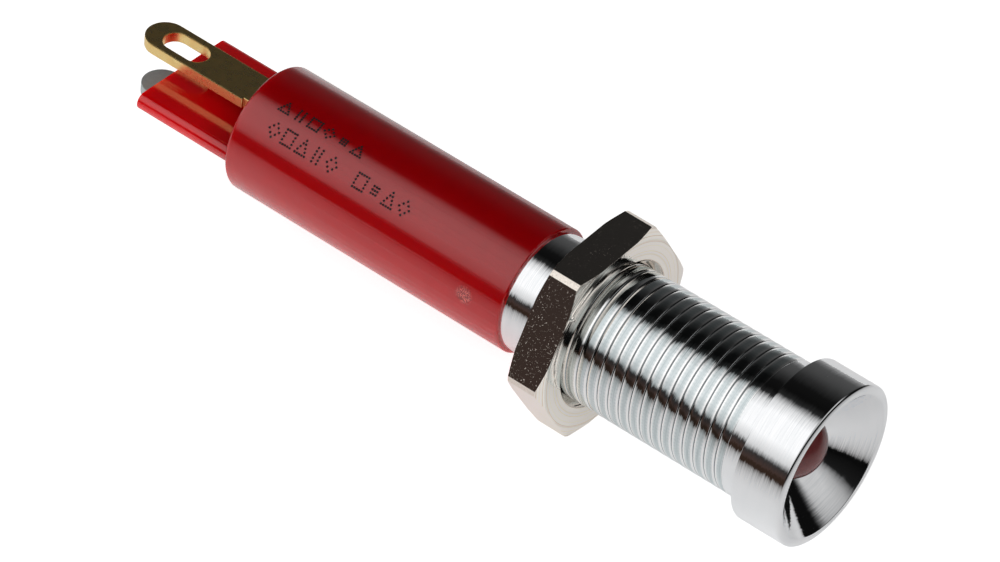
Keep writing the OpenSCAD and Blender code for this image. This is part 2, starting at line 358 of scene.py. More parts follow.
# %% [markdown]
# ## The rear shell
# The shell is one moulding: a tube with a closed rear end, and a barrier plate that keeps the
# two solder tabs apart. The tube is turned. The plate is a box whose long edges are bevelled
# until they are fully round, and a Boolean union joins the two, as the mould does. The mould's
# own fillet, where plate and end meet, is a bevel of the inner edges.

# %% Helper: a box between two corners
def box(name, low, high):
    """A box with its place in its mesh, from two corners in millimetres."""
    low, high = Vector(low), Vector(high)
    bpy.ops.object.select_all(action="DESELECT")
    bpy.ops.mesh.primitive_cube_add(size=MM, location=(low + high) / 2 * MM, scale=high - low)
    piece = bpy.context.object
    piece.name = name
    bpy.ops.object.transform_apply(location=True, rotation=True, scale=True)
    return piece


def runs_along(edge, axis):
    """Whether an edge runs along an axis: 0, 1 and 2 are X, Y and Z."""
    run = edge.verts[1].co - edge.verts[0].co
    return abs(run[axis]) > 0.99 * run.length


# %% Rear shell
shell_r = shell_high.x
barrier_end_y = shell_high.y
barrier_len = 6.25
rear_wall = 1.3
shell_end_y = barrier_end_y - barrier_len
wall_y = shell_end_y - rear_wall
shell_bore_r = 3.0
mouth_edge = 0.06
rim_r = 0.25
barrier_half_w = shell_r - 0.05
barrier_half_t = 0.525
barrier_root_y = wall_y + 0.3
just_short = 0.001

shell = turn("rear_shell_body", [
    (0, wall_y),
    (shell_bore_r, wall_y),
    (shell_bore_r, tail_end_y),
    (shell_r - mouth_edge, tail_end_y),
    (shell_r, tail_end_y + mouth_edge),
    *quarter(shell_r - rim_r, shell_end_y - rim_r, rim_r, rim_r, 0, 6),
    (0, shell_end_y),
], steps=160, closed=False)

barrier = box("barrier", (-barrier_half_w, barrier_root_y, -barrier_half_t),
              (barrier_half_w, barrier_end_y, barrier_half_t))
round_edges(barrier, lambda edge: runs_along(edge, 1), barrier_half_t - just_short, 8)
combine(shell, barrier, "UNION")
finish_mesh(shell, 25)

# %% [markdown]
# ## The solder tabs
# Both tabs are stamped from brass strip, one plated with gold for plus and one tinned for minus.
# A tab is a blade on a narrower stem, and the stem passes into the shell. The blade is a box
# whose two rear upright edges are bevelled by half its width, which makes the tip a half
# circle. A Boolean union adds the stem, and another Boolean punches the oblong slot for the
# wire. A last small bevel gives the edges the light line that a stamped edge has.

# %% Tab sizes
tab_low, tab_high = box_mm("terminal_positive")
tab_half_w = tab_high.x
tab_t = tab_high.z - tab_low.z
blade_len = 7.65
shoulder_y = tab_high.y - blade_len
stem_half_w = 1.05
slot_half_w = 0.75
slot_len = 2.95
slot_web = 1.15
slot_back_y = tab_high.y - slot_web
slot_front_y = slot_back_y - slot_len
print("tab", round(2 * tab_half_w, 2), "by", round(tab_t, 2), "mm, shoulder at", round(shoulder_y, 2))


# %% Helper: one tab
def stamp_tab(name, node):
    """A tab on its stem, as high or low as its part in the frame."""
    low, high = box_mm(node)
    tab = box(name, (-tab_half_w, shoulder_y, low.z), (tab_half_w, high.y, high.z))
    tip_y = (high.y - blade_len / 2) * MM
    round_edges(tab, lambda edge: runs_along(edge, 2) and edge.verts[0].co.y > tip_y,
                tab_half_w - just_short, 20)
    stem = box("stem", (-stem_half_w, low.y, low.z), (stem_half_w, shoulder_y + tab_half_w / 2, high.z))
    combine(tab, stem, "UNION")
    return tab


def slot_punch(node):
    """An oblong punch: a box whose upright edges are rounded to its full width."""
    low, high = box_mm(node)
    punch = box("punch", (-slot_half_w, slot_front_y, low.z - over),
                (slot_half_w, slot_back_y, high.z + over))
    round_edges(punch, lambda edge: runs_along(edge, 2), slot_half_w - just_short, 16)
    return punch


# %% Punch both tabs
tabs = {}
for node in ("terminal_positive", "terminal_negative"):
    tab = stamp_tab(node + "_tab", node)
    combine(tab, slot_punch(node), "DIFFERENCE")
    finish_mesh(tab, 25)
    soften(tab, 0.045, 2, from_angle=40)
    finish_mesh(tab, 35)
    tabs[node] = tab

# %% [markdown]
# ## Slots for the stems
# Each stem leaves the shell through a slot in its end wall, a touch wider than the stem. The
# slots are cut before the last bevel, so their mouths are rounded with all the other edges.

# %% Cut the slots and round the moulding
gap = 0.05
for node in tabs:
    low, high = box_mm(node)
    cutter = box("cutter", (-stem_half_w - gap, wall_y - over, low.z - gap),
                 (stem_half_w + gap, shell_end_y + over, high.z + gap))
    combine(shell, cutter, "DIFFERENCE")
finish_mesh(shell, 25)
soften(shell, 0.07, 3, from_angle=35)
finish_mesh(shell, 30)

# %% [markdown]
# ## The marking on the shell
# The shell is marked by an ink-jet head, which throws separate drops of ink, so every line of
# the mark is a row of dots. This one says nothing: it is two rows of plain triangles, squares,
# diamonds and bars. One drop is modelled, a thin disc with a rounded top edge, and each dot of
# the mark is a copy of it with its own mesh, moved to its place on the round of the shell.

# %% One drop of ink
drop_r = 0.072
drop_t = 0.008
drop_sunk = 0.002
drop_edge = 0.02
drop_crown = 0.004
bpy.ops.object.select_all(action="DESELECT")
bpy.ops.mesh.primitive_circle_add(vertices=12, radius=drop_r * MM, fill_type="NGON",
                                  location=(0, 0, (shell_r - drop_sunk) * MM))
drop = bpy.context.object
drop.name = "drop_of_ink"
bpy.ops.object.transform_apply(location=True, rotation=True, scale=True)
bpy.ops.object.mode_set(mode="EDIT")
bpy.ops.mesh.select_all(action="SELECT")
bpy.ops.mesh.extrude_region_move(TRANSFORM_OT_translate={"value": (0, 0, drop_t * MM)})
bpy.ops.mesh.inset(thickness=drop_edge * MM)
bpy.ops.transform.translate(value=(0, 0, drop_crown * MM))
bpy.ops.object.mode_set(mode="OBJECT")
finish_mesh(drop, 60)

# %% Signs on a grid of 5 by 7 dots
columns = range(5)
rows = range(1, 6)
square = [(column, row) for column in columns for row in rows if column in (0, 4) or row in (1, 5)]
diamond = [(column, row) for column in columns for row in rows if abs(column - 2) + abs(row - 3) == 2]
triangle = [(column, 1) for column in columns]
triangle += [(0.5, 2), (1, 3), (1.5, 4), (2, 5), (2.5, 4), (3, 3), (3.5, 2)]
bars = [(column, row) for column in (1, 3) for row in rows]
block = [(column, row) for column in (1, 2, 3) for row in (2, 3, 4)]
blank = []
# Each row: where it starts, its angle round the shell, the gap between dots, and its signs
rows_of_signs = [
    (33.4, 60.0, 0.150, [triangle, bars, square, diamond, block, triangle]),
    (33.2, 36.0, 0.205, [diamond, square, triangle, bars, diamond, blank,
                         square, block, triangle, diamond]),
]
column_gap = 0.165
sign_gap = 1.0

# %% Place the dots
dots = []
for start_y, start_angle, row_gap, signs in rows_of_signs:
    for count, sign in enumerate(signs):
        for column, row in sign:
            dot = drop.copy()
            dot.data = drop.data.copy()
            bpy.context.scene.collection.objects.link(dot)
            y = start_y - count * sign_gap - column * column_gap
            angle = math.radians(start_angle - 90) + row * row_gap / shell_r
            dot.data.transform(Matrix.Rotation(angle, 4, "Y") @ Matrix.Translation((0, y * MM, 0)))
            dots.append(dot)
bpy.data.objects.remove(drop)
bpy.ops.object.select_all(action="DESELECT")
for dot in dots:
    dot.select_set(True)
bpy.context.view_layer.objects.active = dots[0]
bpy.ops.object.join()
marking = bpy.context.object
marking.name = "shell_marking"
print("drops of ink in the marking:", len(dots))

# %% [markdown]
# ## The LED
# The LED is one casting of tinted epoxy: a domed lens, a short cylinder and a flange that sits
# on the rubber seal. The dome is a quarter circle of points, so that a turn makes it a true half
# ball without the pinched pole of a plain sphere.

# %% LED lens
lens_r = 1.95
dome_y = -0.2
lens_high = box_mm("led_lens")[1]
flange_r = lens_high.x
flange_t = 0.8
flange_edge = 0.05
flange_back_y = lens_high.y
flange_y = flange_back_y - flange_t
lens = turn("led_lens_body", [
    *quarter(0, dome_y, lens_r, lens_r, -90, 23),
    (lens_r, flange_y),
    (flange_r - flange_edge, flange_y),
    (flange_r, flange_y + flange_edge),
    (flange_r, flange_back_y),
    (0, flange_back_y),
], steps=96, closed=False)
print("lens tip at", round(min(vert.co.y for vert in lens.data.vertices) / MM, 2))

# %% [markdown]
# ## Helpers for the finishes
# A finish is a small tree of nodes around one Principled shader. Colours are written as sRGB
# hex, as a colour picker shows them, and turned to linear light by one function. Patterns read
# Object coordinates, which are metres here, so a pattern's scale is one over its real size. One
# helper adds a node and plugs in its inputs. Where an input is another node, it is linked to
# that node's first output in use, which is nearly always the one that is wanted.

# %% Helpers: colour, node, finish
def colour(code):
    """Turns an sRGB hex colour to linear RGBA."""
    parts = [int(code[start:start + 2], 16) / 255 for start in (1, 3, 5)]
    linear = [part / 12.92 if part <= 0.04045 else ((part + 0.055) / 1.055) ** 2.4 for part in parts]
    return (*linear, 1)


def plug(tree, node, inputs):
    """Gives a node its inputs. A node or a socket is linked, anything else is a value."""
    for socket, value in inputs.items():
        if isinstance(value, bpy.types.Node):
            value = next(output for output in value.outputs if output.enabled)
        if isinstance(value, bpy.types.NodeSocket):
            tree.links.new(value, node.inputs[socket])
        else:
            node.inputs[socket].default_value = value


def add(tree, kind, inputs=None, **settings):
    """Adds a node with its inputs. Settings are the node's own options."""
    made = tree.nodes.new("ShaderNode" + kind)
    for name, value in settings.items():
        setattr(made, name, value)
    plug(tree, made, inputs or {})
    return made


def new_finish(name):
    """A material with a Principled shader and its output, and the coordinates to draw on."""
    finish = bpy.data.materials.new(name)
    finish.use_nodes = True
    tree = finish.node_tree
    tree.nodes.clear()
    shader = add(tree, "BsdfPrincipled")
    add(tree, "OutputMaterial", {"Surface": shader})
    place = add(tree, "TexCoord").outputs["Object"]
    print("finish:", name)
    return finish, tree, shader, place


def reopen(finish):
    """The tree, shader and coordinates of a finish, and the colour that it has so far."""
    tree = finish.node_tree
    shader = tree.nodes["Principled BSDF"]
    so_far = shader.inputs["Base Color"].links[0].from_socket
    return tree, shader, tree.nodes["Texture Coordinate"].outputs["Object"], so_far


def per(size_mm):
    """Noise scale whose features are about this many millimetres across."""
    return 1 / (size_mm * MM)


# %% [markdown]
# ## Bright chrome on turned brass
# Chrome is a thin, hard, slightly blue-white plating, polished like a mirror. It copies what is
# under it, so the fine rings that the tool left on the brass still show. Rings run round the
# axis: close together along it, long around it. Here a noise is stretched to rings 0.05 mm
# apart, which is as coarse as it must be to show, and it tilts the normal a little round the
# axis, so that the edges of the reflections break into fine teeth. The same rings vary the
# plating's tone by a few per cent. A second, slower noise adds the waviness that is left where
# a surface can't be polished, which is nearly nothing on the plain parts.

# %% Chrome
def chrome_finish(name, bright, dull, ring_gap, wave):
    """Mirror plating over turned metal: rings this many millimetres apart, and a wave in radians."""
    finish, tree, shader, place = new_finish(name)
    ring_run = 2.2
    ring_lean = 0.04
    stretch = add(tree, "Mapping", {"Vector": place,
                                    "Scale": (per(ring_run), per(ring_gap), per(ring_run))})
    rings = add(tree, "TexNoise", {"Vector": stretch, "Scale": 1.0, "Detail": 4.0, "Roughness": 0.7})
    ring_tilt = add(tree, "MapRange", {"Value": rings, "From Min": 0.25, "From Max": 0.75,
                                       "To Min": -ring_lean, "To Max": ring_lean})
    wave_size = 0.55
    waves = add(tree, "TexNoise", {"Vector": place, "Scale": per(wave_size), "Detail": 2.0})
    wave_tilt = add(tree, "MapRange", {"Value": waves, "From Min": 0.3, "From Max": 0.7, "To Min": -wave,
                                       "To Max": wave})
    tilt = add(tree, "Math", {0: ring_tilt, 1: wave_tilt}, operation="ADD")
    normal = add(tree, "NewGeometry").outputs["Normal"]
    tilted = add(tree, "VectorRotate", {"Vector": normal, "Angle": tilt}, rotation_type="Y_AXIS")
    polish = add(tree, "MapRange", {"Value": rings, "From Min": 0.3, "From Max": 0.7, "To Min": 0.03,
                                    "To Max": 0.07})
    tone = add(tree, "MapRange", {"Value": rings, "From Min": 0.35, "From Max": 0.65})
    plating = add(tree, "Mix", {0: tone, 6: colour(bright), 7: colour(dull)}, data_type="RGBA")
    plug(tree, shader, {"Base Color": plating, "Metallic": 1.0, "Roughness": polish, "Normal": tilted})
    return finish


chrome = chrome_finish("bright_chrome_on_turned_brass", "#FCFCFD", "#EDEFF1", ring_gap=0.05, wave=0.006)
housing.data.materials.append(chrome)

# %% [markdown]
# The thread can't be polished like the plain parts, so its crests are a little wavy. Their greyer
# chrome is a painted shade, their rounded edges are painted white, a painted highlight, and each
# groove is painted darker towards its bottom, a painted shade. The distance from the axis tells
# these apart.

# %% Chrome on the thread
# The thread's greyer chrome is a painted shade on its crests.
thread_chrome = chrome_finish("wavy_chrome_on_the_thread_with_painted_shade_and_highlights", "#D8E0E2", "#BAC4C6", ring_gap=0.04, wave=0.02)
tree, shader, place, crest_tone_with_painted_shade = reopen(thread_chrome)
flat_place = add(tree, "VectorMath", {0: place, 1: (1, 0, 1)}, operation="MULTIPLY")
from_axis = add(tree, "VectorMath", {0: flat_place}, operation="LENGTH")
in_groove = add(tree, "MapRange", {"Value": from_axis, "From Min": (barrel_r - edge_fall * 1.6) * MM,
                                   "From Max": (barrel_r - edge_fall * 0.9) * MM})
on_crest = add(tree, "MapRange", {"Value": from_axis, "From Min": (barrel_r - edge_fall * 0.4) * MM,
                                  "From Max": (barrel_r - edge_fall * 0.1) * MM})
# Painted shade and highlight: grey at the bottom of each groove, white on the crests' rounded edges.
painted_groove_shade_and_edge_highlight = add(tree, "Mix", {0: in_groove, 6: colour("#B2B6B7"), 7: colour("#FFFFFF")},
                  data_type="RGBA")
thread_tone = add(tree, "Mix", {0: on_crest, 6: painted_groove_shade_and_edge_highlight, 7: crest_tone_with_painted_shade}, data_type="RGBA")
plug(tree, shader, {"Base Color": thread_tone})
thread.data.materials.append(thread_chrome)

# %% [markdown]
# ## Nickel on the nut
# Nickel plating is warmer than chrome and less of a mirror. Each side of the nut keeps the mark
# of how it was made. The flats are the drawn bar's own skin, a fine grain that breaks every
# reflection into specks. The end faces were turned, so their scratches are rings round the
# bore. The normal says which is which: on an end face it points along Y.

# %% Nickel
nickel, tree, shader, place = new_finish("nickel_plate_on_machined_brass")
facing = add(tree, "SeparateXYZ", {"Vector": add(tree, "TexCoord").outputs["Normal"]})
along = add(tree, "Math", {0: facing.outputs["Y"]}, operation="ABSOLUTE")
on_face = add(tree, "MapRange", {"Value": along, "From Min": 0.8, "From Max": 0.95})

grain_size = 0.10
grain = add(tree, "TexNoise", {"Vector": place, "Scale": per(grain_size), "Detail": 4.0,
                               "Roughness": 0.7})
across = add(tree, "VectorMath", {0: place, 1: (1, 0, 1)}, operation="MULTIPLY")
radius = add(tree, "VectorMath", {0: across}, operation="LENGTH")
tool_gap = 0.16
turning = add(tree, "TexNoise", {"W": radius, "Scale": per(tool_gap), "Detail": 2.0},
              noise_dimensions="1D")
rings = add(tree, "Math", {0: turning, 1: 0.3}, operation="MULTIPLY")
pits = add(tree, "MapRange", {"Value": grain, "From Min": 0.63, "From Max": 0.8})
relief = add(tree, "Mix", {0: on_face, 2: pits, 3: rings}, data_type="FLOAT")
pit_depth = 0.014
marks = add(tree, "Bump", {"Height": relief, "Strength": 0.6, "Distance": pit_depth * MM})
wear = add(tree, "MapRange", {"Value": grain, "From Min": 0.3, "From Max": 0.7, "To Min": 0.03,
                              "To Max": 0.07})
scratches = add(tree, "MapRange", {"Value": turning, "From Min": 0.52, "From Max": 0.75})
shade = add(tree, "Mix", {0: on_face, 2: grain, 3: scratches}, data_type="FLOAT")
tone = add(tree, "Mix", {0: shade, 6: colour("#FFF8EF"), 7: colour("#D2C6BA")}, data_type="RGBA")
plug(tree, shader, {"Base Color": tone, "Metallic": 1.0, "Roughness": wear, "Normal": marks})
nut.data.materials.append(nickel)

# %% [markdown]
# ## Red moulded plastic
# The shell is red polycarbonate from a nearly polished mould. It is glossy, and its highlights
# are slightly wavy, with faint draw lines along the axis, the way the shell left the mould.
# Light goes a little way into it, so the colour is deep, and where it is thin it glows, partly from
# that light and partly from a painted brighter red.

# %% Red plastic
plastic, tree, shader, place = new_finish("red_polycarbonate_from_a_polished_mould")
ripple_size = 0.9
ripple = add(tree, "TexNoise", {"Vector": place, "Scale": per(ripple_size), "Detail": 3.0})
line_gap = 0.12
line_run = 9.0
drawn = add(tree, "Mapping", {"Vector": place, "Scale": (per(line_gap), per(line_run), per(line_gap))})
lines = add(tree, "TexNoise", {"Vector": drawn, "Scale": 1.0, "Detail": 2.0})
skin = add(tree, "Math", {0: lines, 1: 0.1, 2: ripple}, operation="MULTIPLY_ADD")
wave_depth = 0.012
wavy = add(tree, "Bump", {"Height": skin, "Strength": 0.4, "Distance": wave_depth * MM})
pigment = add(tree, "Mix", {0: ripple, 6: colour("#A60008"), 7: colour("#B2010A")}, data_type="RGBA")

# The barrier plate is thin enough for light to come through, so its red is painted brighter, a painted
# glow.
along = add(tree, "SeparateXYZ", {"Vector": place})
root_len = 2.5
thin = add(tree, "MapRange", {"Value": along.outputs["Y"], "From Min": shell_end_y * MM,
                              "From Max": (shell_end_y + root_len) * MM})
# Painted glow: the plate's red is brighter than the tube's.
red = add(tree, "Mix", {0: thin, 6: pigment, 7: colour("#D0000C")}, data_type="RGBA")
gloss = add(tree, "MapRange", {"Value": lines, "From Min": 0.3, "From Max": 0.7, "To Min": 0.10,
                               "To Max": 0.14})

# The gate, where the plastic ran in, was broken off. It left a hollow with pale crumbs, painted darker
# towards its middle.
gate_place = Vector((-3.69, 18.66, 0.49)) * MM
gate_r = 0.6
crumb_size = 0.09
crumb_depth = 0.04
from_gate = add(tree, "VectorMath", {0: place, 1: gate_place}, operation="DISTANCE")
near_gate = add(tree, "MapRange", {"Value": from_gate, "From Min": 0.5 * gate_r * MM,
                                   "From Max": gate_r * MM, "To Min": 1.0, "To Max": 0.0})
crumbs = add(tree, "TexNoise", {"Vector": place, "Scale": per(crumb_size), "Detail": 2.0})
broken = add(tree, "MapRange", {"Value": crumbs, "From Min": 0.45, "From Max": 0.6})
gate = add(tree, "Math", {0: near_gate, 1: broken}, operation="MULTIPLY")
# The colour is painted darker towards the gate's middle.
hollow = add(tree, "Mix", {0: near_gate, 6: red, 7: colour("#7A0008")}, data_type="RGBA")
gate_tone = add(tree, "Mix", {0: gate, 6: hollow, 7: colour("#F07A74")}, data_type="RGBA")
gate_gloss = add(tree, "Mix", {0: near_gate, 2: gloss, 3: 0.4}, data_type="FLOAT")
gate_relief = add(tree, "Bump", {"Normal": wavy, "Height": gate, "Strength": 0.8,
                                 "Distance": crumb_depth * MM})
plug(tree, shader, {
    "Base Color": gate_tone,
    "Roughness": gate_gloss,
    "Normal": gate_relief,
    "IOR": 1.58,
    "Specular IOR Level": 0.9,
    "Specular Tint": (1.0, 0.58, 0.58, 1),
    "Coat Weight": 0.4,
    "Coat Roughness": 0.06,
    "Subsurface Weight": 0.65,
    "Subsurface Radius": (1.0, 0.05, 0.04),
    "Subsurface Scale": 2.2 * MM,
})
shell.data.materials.append(plastic)

# %% [markdown]
# ## Gold and tin on the tabs
# Both tabs are brass strip, rolled and then stamped. Rolling leaves fine lines along the strip,
# and a thin electroplate keeps them. Gold flash is warm and only half bright. Tin is dull and
# grey, with a cloudy bloom. One function makes both, because only the numbers differ.

# %% Gold and tin
def plated_strip(name, bright, dark, smooth, rough):
    """Electroplate on rolled strip: fine lines along it, and soft clouds in its colour."""
    finish, tree, shader, place = new_finish(name)
    roll_gap = 0.06
    roll_run = 1.5
    roll_depth = 0.008
    rolled = add(tree, "Mapping", {"Vector": place,
                                   "Scale": (per(roll_gap), per(roll_run), per(roll_gap))})
    lines = add(tree, "TexNoise", {"Vector": rolled, "Scale": 1.0, "Detail": 3.0})
    cloud_size = 0.5
    clouds = add(tree, "TexNoise", {"Vector": place, "Scale": per(cloud_size), "Detail": 4.0})
    tone = add(tree, "Mix", {0: clouds, 6: colour(bright), 7: colour(dark)}, data_type="RGBA")
    gloss = add(tree, "MapRange", {"Value": clouds, "From Min": 0.3, "From Max": 0.7, "To Min": smooth,
                                   "To Max": rough})
    marks = add(tree, "Bump", {"Height": lines, "Strength": 0.4, "Distance": roll_depth * MM})
    plug(tree, shader, {"Base Color": tone, "Metallic": 1.0, "Roughness": gloss, "Normal": marks})
    return finish


gold = plated_strip("gold_flash_on_stamped_brass", "#FFE8A6", "#FFD382", 0.24, 0.34)
tabs["terminal_positive"].data.materials.append(gold)
tin = plated_strip("dull_tin_on_stamped_brass", "#E4ECEC", "#C4CDCE", 0.6, 0.75)
tabs["terminal_negative"].data.materials.append(tin)

# %% [markdown]
# ## The LED's epoxy
# The LED is cast in red epoxy with a little diffusing powder in it. Unlit, it looks like dark
# red-brown glass that glows faintly where light gets in near its rim. Subsurface scattering
# gives that depth, and a smooth, slightly soft gloss gives the highlights of a casting.

# %% LED epoxy
epoxy, tree, shader, place = new_finish("red_tinted_diffused_epoxy")
powder_size = 0.12
powder = add(tree, "TexNoise", {"Vector": place, "Scale": per(powder_size), "Detail": 3.0})
tint = add(tree, "Mix", {0: powder, 6: colour("#5C2727"), 7: colour("#703231")}, data_type="RGBA")
plug(tree, shader, {"Base Color": tint, "Roughness": 0.2, "IOR": 1.53, "Subsurface Weight": 0.25,
                    "Subsurface Radius": (1.0, 0.2, 0.15), "Subsurface Scale": 0.8 * MM})
lens.data.materials.append(epoxy)

# %% [markdown]
# ## Marking ink
# The ink is a thin black film on red plastic, so it is nearly black where a drop is full and a
# little red where it is thin. It dries matt, which keeps it dark inside the shell's highlight.

# %% Ink
ink, tree, shader, place = new_finish("black_marking_ink")
film_size = 0.08
film = add(tree, "TexNoise", {"Vector": place, "Scale": per(film_size), "Detail": 2.0})
film_tone = add(tree, "Mix", {0: film, 6: colour("#0C0606"), 7: colour("#35151A")}, data_type="RGBA")
dried = add(tree, "MapRange", {"Value": film, "To Min": 0.5, "To Max": 0.75})
plug(tree, shader, {"Base Color": film_tone, "Roughness": dried, "Specular IOR Level": 0.3})
marking.data.materials.append(ink)

# %% [markdown]
# ## The parts inside
# The parts inside the housing keep the shapes that the frame gives them, and get their real
# finishes, so that a section or an exploded view looks right too. The metal ones are drawn or
# stamped and plated, so they share the strip finish. The others are moulded, cast or coated,
# and one function makes those: two close tones in clouds, an uneven gloss and a fine relief,
# all from sizes in millimetres.

# %% Helper: a moulded or cast finish
def cast_finish(name, tone, other_tone, grain_size, smooth, rough, relief, more=None):
    """A non-metal: clouds of two tones, uneven gloss, and relief this many millimetres deep."""
    finish, tree, shader, place = new_finish(name)
    grain = add(tree, "TexNoise", {"Vector": place, "Scale": per(grain_size), "Detail": 4.0})
    clouds = add(tree, "MapRange", {"Value": grain, "From Min": 0.35, "From Max": 0.65})
    tones = add(tree, "Mix", {0: clouds, 6: colour(tone), 7: colour(other_tone)}, data_type="RGBA")
    gloss = add(tree, "MapRange", {"Value": grain, "From Min": 0.3, "From Max": 0.7, "To Min": smooth,
                                   "To Max": rough})
    skin = add(tree, "Bump", {"Height": grain, "Strength": 0.5, "Distance": relief * MM})
    plug(tree, shader, {"Base Color": tones, "Roughness": gloss, "Normal": skin, **(more or {})})
    return finish


def put_on(finish, *nodes):
    """Puts a finish on parts of the frame."""
    for node in nodes:
        for material_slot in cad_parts[node].material_slots:
            material_slot.material = finish


# %% [markdown]
# The lead frame is thin steel strip, stamped and silver plated, so it is pale and half bright.
# The leads are drawn copper wire with tin on it, greyer, with draw lines along them. Solder
# freezes slowly and from its edge, so it is bright but cloudy.

# %% Metal parts inside
silver = plated_strip("silver_plate_on_steel_lead_frame", "#F3F0E8", "#D8D3C8", 0.2, 0.35)
put_on(silver, "led_cathode", "led_anode")
tinned = plated_strip("tin_on_drawn_copper_wire", "#DADDDD", "#B9BCBC", 0.3, 0.45)
put_on(tinned, "resistor_front_lead", "resistor_rear_lead", "diode_front_lead", "diode_rear_lead")
solder = plated_strip("frozen_tin_solder", "#E3E5E6", "#A9ADB0", 0.18, 0.42)
put_on(solder, "anode_joint", "cathode_joint", "positive_joint", "negative_joint")

# %% [markdown]
# The seal is moulded silicone rubber, matt grey with a dusty bloom. The holder is moulded
# nylon, milky and waxy, so some light goes into it. The sleeves are shrunk polyolefin tube,
# black with fine wrinkles. The potting is black epoxy that found its own level, glossy and a
# little wavy. The chip is a sawn crystal, and its front face is one gold contact.

# %% Moulded and cast parts inside
# After the two tones: the grain's size, the lowest and highest roughness, and the relief
rubber = cast_finish("grey_silicone_rubber", "#A2A8A8", "#8D9393", 0.2, 0.6, 0.85, 0.01)
put_on(rubber, "lens_seal")
sleeve = cast_finish("shrunk_polyolefin_tube", "#121213", "#232325", 0.25, 0.45, 0.6, 0.02)
put_on(sleeve, "insulating_sleeve", "diode_side_sleeve")
resin = cast_finish("black_potting_epoxy", "#0E0E10", "#1C1C1F", 1.2, 0.12, 0.22, 0.02)
put_on(resin, "potting")

waxy = {"Subsurface Weight": 0.3, "Subsurface Radius": (1.0, 0.8, 0.6), "Subsurface Scale": 0.5 * MM}
nylon = cast_finish("natural_moulded_nylon", "#E6E1D3", "#D8D1C0", 0.8, 0.32, 0.45, 0.01, waxy)
put_on(nylon, "led_holder")

# %% The chip
crystal = cast_finish("sawn_crystal_with_gold_contact", "#3A3A3F", "#54545A", 0.05, 0.2, 0.4, 0.002)
tree, shader, place, so_far = reopen(crystal)
contact_t = 0.004
contact_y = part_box("led_chip")[0][1] + contact_t * MM
height = add(tree, "SeparateXYZ", {"Vector": place})
contact = add(tree, "Math", {0: height.outputs["Y"], 1: contact_y}, operation="LESS_THAN")
contact_tone = add(tree, "Mix", {0: contact, 6: so_far, 7: colour("#E8B860")}, data_type="RGBA")
plug(tree, shader, {"Base Color": contact_tone})
put_on(crystal, "led_chip")

# %% [markdown]
# The resistor is dipped in beige lacquer, which pulls thin over its end caps, and painted with
# colour bands. The diode is a sealed glass bead, amber from the heat, with a black band of
# paint at its cathode end. On both, the bands are steps of a colour ramp along the axis.

# %% Helper: bands along a part
def paint_bands(finish, node, bands):
    """Paints bands of (start, end, hex) over a finish. Both are shares of the part's length."""
    tree, shader, place, so_far = reopen(finish)
    low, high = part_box(node)
    along = add(tree, "SeparateXYZ", {"Vector": place})
    share = add(tree, "MapRange", {"Value": along.outputs["Y"], "From Min": low[1], "From Max": high[1]})
    paint = add(tree, "ValToRGB", {"Fac": share})
    paint.color_ramp.interpolation = "CONSTANT"
    elements = paint.color_ramp.elements
    elements.remove(elements[1])
    elements[0].position = 0
    elements[0].color = colour("#FFFFFF")
    for start, end, tone in bands:
        elements.new(start).color = colour(tone)
        elements.new(end).color = colour("#FFFFFF")
    painted = add(tree, "Mix", {0: 1.0, 6: so_far, 7: paint}, data_type="RGBA", blend_type="MULTIPLY")
    plug(tree, shader, {"Base Color": painted})
    put_on(finish, node)


# %% Resistor and diode
lacquer = cast_finish("dipped_beige_lacquer", "#DCC79C", "#CDB586", 0.6, 0.18, 0.3, 0.02)
paint_bands(lacquer, "resistor_body", [
    (0.16, 0.24, "#F2C230"),
    (0.34, 0.42, "#8A4FA0"),
    (0.52, 0.60, "#8B4A22"),
    (0.78, 0.86, "#D9A840"),
])
clear = {"Transmission Weight": 0.5}
bead = cast_finish("sealed_amber_glass_bead", "#B4551E", "#8E3F14", 0.7, 0.04, 0.1, 0.006, clear)
paint_bands(bead, "diode_body", [(0.72, 0.86, "#0C0C0C")])

# %% [markdown]
# ## What rides on what
# Everything but the nut belongs to the indicator itself. The nut runs along the thread.

# %% Ride, replace, slot
pieces = [
    (housing, "indicator_body", "housing", "chrome"),
    (thread, "indicator_body", None, "chrome"),
    (nut, "lock_nut", "hex_nut", "nickel"),
    (shell, "indicator_body", "rear_shell", "shell_plastic"),
    (tabs["terminal_positive"], "indicator_body", "terminal_positive", "gold_plate"),
    (tabs["terminal_negative"], "indicator_body", "terminal_negative", "tin_plate"),
    (lens, "indicator_body", "led_lens", "lens_epoxy"),
    (marking, "indicator_body", None, "shell_plastic"),
]
for piece, body, node, slot in pieces:
    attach(piece, body)
    if node:
        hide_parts(node)
print("pieces made:", len(pieces))

# %% [markdown]
# ## The studio floor
# The lamp lies on a small sheet of white paper on a dark table, as in a light tent. The paper
# is white to the camera, pale grey to the mirrors close to it, and still takes the lamp's
# shadow. Farther off, past the sheet's edges, the mirrors see the brown table, which draws the
# dark line along every chromed part. The camera sees white there too, so the backdrop is plain.

